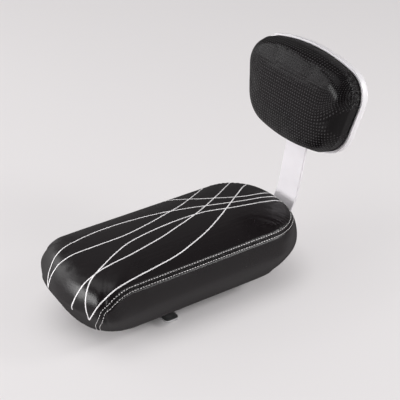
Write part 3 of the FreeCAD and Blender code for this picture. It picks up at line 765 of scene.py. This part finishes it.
def makePadForm():
    # a flat sheet of 1 mm squares pulled over the form; what runs past the hem is cut off
    profiles = padProfiles()
    walked = [walkedLengths(p) for p in profiles]
    count = len(profiles)
    finder = KDTree(count)
    for i, p in enumerate(profiles):
        finder.insert((p[0].x, p[0].y, 0), i)
    finder.balance()
    wide, tall = pad["half"]
    bm = bmesh.new()
    bmesh.ops.create_grid(bm, x_segments=2 * wide, y_segments=2 * tall, size=1.0)
    sheet = bm.verts.layers.float_vector.new("sheet")
    bm.verts.ensure_lookup_table()
    spare = []
    for n, v in enumerate(bm.verts):
        row, col = divmod(n, 2 * wide + 1)
        flat = Vector((col - wide, row - tall, 0))
        i = finder.find(flat)[1]
        best = None
        for a in (i - 1, i):
            p, q = profiles[a % count][0], profiles[(a + 1) % count][0]
            p, q = Vector((p.x, p.y, 0)), Vector((q.x, q.y, 0))
            t = min(max((flat - p).dot(q - p) / (q - p).length_squared, 0), 1)
            gap = (flat - p.lerp(q, t)).length
            if best is None or gap < best[0]:
                best = (gap, a % count, t, (q - p).cross(flat - p).z)
        gap, a, t, turn = best
        b = (a + 1) % count
        if turn >= 0:
            v.co = Vector((flat.x, flat.y, pad["depth"]))
        else:
            v.co = pointAt(profiles[a], walked[a], gap).lerp(pointAt(profiles[b], walked[b], gap), t)
            if gap > walked[a][-1]:
                spare.append(v)
        v[sheet] = flat
    bmesh.ops.delete(bm, geom=spare, context="VERTS")
    bmesh.ops.delete(bm, geom=[v for v in bm.verts if not v.link_faces], context="VERTS")
    return bm


bm = makePadForm()
bmesh.ops.recalc_face_normals(bm, faces=bm.faces)
if sum(f.normal.z for f in bm.faces if f.calc_center_median().z > pad["depth"] - 2) < 0:
    bmesh.ops.reverse_faces(bm, faces=bm.faces)
bm.normal_update()
raised = [v for v in bm.verts if v.co.z > pad["band"]]
for v in raised:
    v.co -= v.normal * pad["drawIn"] * min((v.co.z - pad["band"]) / pad["drawEase"], 1)
evenOut(bm, [v for v in bm.verts if v.co.z > pad["band"] + pad["evenAbove"]], pad["evening"])
sheet = bm.verts.layers.float_vector["sheet"]
low, high, fade = pad["evenSquares"]
for v in bm.verts:
    area = sum(f.calc_area() for f in v.link_faces) / len(v.link_faces)
    evenness = min(max(min(area - low, high - area) / fade, 0), 1) if v.co.z > 0 else 0
    v[sheet] = (v[sheet].x, v[sheet].y, evenness)
stand = Matrix.Rotation(math.radians(90 - pad["lean"]), 4, "X")
toSeat = Matrix.Translation(Vector(pad["place"]) * mm) @ stand @ Matrix.Scale(mm, 4)
bmesh.ops.transform(bm, matrix=toSeat, verts=bm.verts)
fromSeat = toSeat.inverted()
draft = bpy.data.meshes.new("padDraft")
bm.to_mesh(draft)
liftAt = swell("padSwell", draft, lambda co: (fromSeat @ co).z < pad["heldBelow"], pad["cloth"])
for v in bm.verts:
    v.co += liftAt(v.co)
bpy.data.meshes.remove(draft)
padCover = finishPiece(bm, "backrest_pad", padVinyl, ("backrest_cover", "backrest_foam"))
print("backrest pad:", len(padCover.data.polygons), "faces")

# floor, light and camera
floorMesh = bpy.data.meshes.new("floor")
bm = bmesh.new()
bmesh.ops.create_grid(bm, x_segments=1, y_segments=1, size=6.0)
bmesh.ops.translate(bm, verts=bm.verts, vec=(0, 0, cadBox[0].z))
bm.to_mesh(floorMesh)
bm.free()
floor = bpy.data.objects.new("floor", floorMesh)
scene.collection.objects.link(floor)
paper, tree, shader, place = newFinish("paleFloor", (0.72, 0.695, 0.70), 0.9, Specular_IOR_Level=0.1)
tintBy(tree, shader, noiseOn(tree, place, 3.0), (0.715, 0.69, 0.695), (0.725, 0.70, 0.705))
# away from the seat the paper glows a little to the eye and in reflections, so its shadow stays faint; the
# glow fades out towards the seat's middle line, which paints a darker patch round and under the seat on top
# of its real shadow
floorGlow = {"share": 0.65, "from": 0.03, "to": 0.1, "ends": (-0.1, 0.1), "colour": (0.80, 0.775, 0.78)}
across = addNode(tree, "ShaderNodeSeparateXYZ", {"Vector": place}).outputs
front, rear = floorGlow["ends"]
along = addNode(tree, "ShaderNodeClamp", {"Value": across["Y"], "Min": front, "Max": rear}).outputs[0]
past = mathOf(tree, "SUBTRACT", across["Y"], along)
gap = addNode(tree, "ShaderNodeCombineXYZ", {"X": across["X"], "Y": past})
gap = addNode(tree, "ShaderNodeVectorMath", {0: gap.outputs[0]}, operation="LENGTH").outputs["Value"]
# glow share: none close to the seat, which paints the darker shadow patch there
glowPastPaintedShade = spread(tree, gap, 0.0, floorGlow["share"], floorGlow["from"], floorGlow["to"])
rays = addNode(tree, "ShaderNodeLightPath").outputs
seen = mathOf(tree, "MAXIMUM", rays["Is Camera Ray"], rays["Is Glossy Ray"])
seen = mathOf(tree, "MAXIMUM", seen, rays["Is Transmission Ray"])
share = mathOf(tree, "MULTIPLY", seen, glowPastPaintedShade)
lit = addNode(tree, "ShaderNodeEmission", {"Color": (*floorGlow["colour"], 1), "Strength": 1.0})
both = addNode(tree, "ShaderNodeMixShader", {0: share, 1: shader.outputs[0], 2: lit.outputs[0]})
tree.links.new(both.outputs[0], tree.nodes["Material Output"].inputs["Surface"])
floorMesh.materials.append(paper)

scene.view_settings.view_transform = "Standard"
studio = {"darkSide": (0.82, -0.57, 0.05), "dark": 0.1, "light": 0.26}
world = bpy.data.worlds.new("studioWorld")
world.use_nodes = True
tree = world.node_tree
way = addNode(tree, "ShaderNodeTexCoord").outputs["Generated"]
facing = addNode(tree, "ShaderNodeVectorMath", {0: way, 1: studio["darkSide"]}, operation="DOT_PRODUCT")
strength = spread(tree, facing.outputs["Value"], studio["light"], studio["dark"], -0.8, 0.6)
tree.nodes["Background"].inputs["Color"].default_value = (1.0, 0.985, 0.99, 1)
tree.links.new(strength, tree.nodes["Background"].inputs["Strength"])
scene.world = world

softboxes = {
    "overhead": {"place": (-0.2, -0.45, 1.7), "aim": (0, 0, 0), "size": (1.4, 1.4), "watts": 10.0},
    "front": {"place": (-0.28, -1.54, 0.58), "aim": (0, -0.1, 0.07), "size": (1.15, 0.4), "watts": 20.5},
    "side": {"place": (1.30, 0.765, 0.51), "aim": (0.05, 0.03, 0.06), "size": (0.8, 0.25), "watts": 8.5},
    "padSide": {"place": (0.81, 1.05, 0.86), "aim": (0.08, 0.19, 0.22), "size": (0.36, 0.36), "watts": 9.0},
    "left": {"place": (-1.25, -0.75, 0.65), "aim": (0, 0, 0.08), "size": (1.1, 1.0), "watts": 10.0},
}
for name, box in softboxes.items():
    lampData = bpy.data.lights.new(name, "AREA")
    lampData.shape = "RECTANGLE"
    lampData.size, lampData.size_y = box["size"]
    lampData.energy = box["watts"]
    lamp = bpy.data.objects.new(name, lampData)
    lamp.location = box["place"]
    lamp.rotation_euler = (Vector(box["place"]) - Vector(box["aim"])).to_track_quat("Z", "Y").to_euler()
    scene.collection.objects.link(lamp)

view = {"azimuth": 55.32, "elevation": 29.98, "distance": 1.5, "target": (-0.0374, 0.0662, 0.07),
        "lens": 107.9}
turn, tilt = math.radians(view["azimuth"]), math.radians(view["elevation"])
back = Vector((math.sin(turn) * math.cos(tilt), -math.cos(turn) * math.cos(tilt), math.sin(tilt)))
camData = bpy.data.cameras.new("photoCamera")
camData.lens = view["lens"]
camData.sensor_width = 36.0
camData.sensor_fit = "HORIZONTAL"
cam = bpy.data.objects.new("photoCamera", camData)
cam.location = Vector(view["target"]) + back * view["distance"]
cam.rotation_euler = back.to_track_quat("Z", "Y").to_euler()
scene.collection.objects.link(cam)
scene.camera = cam
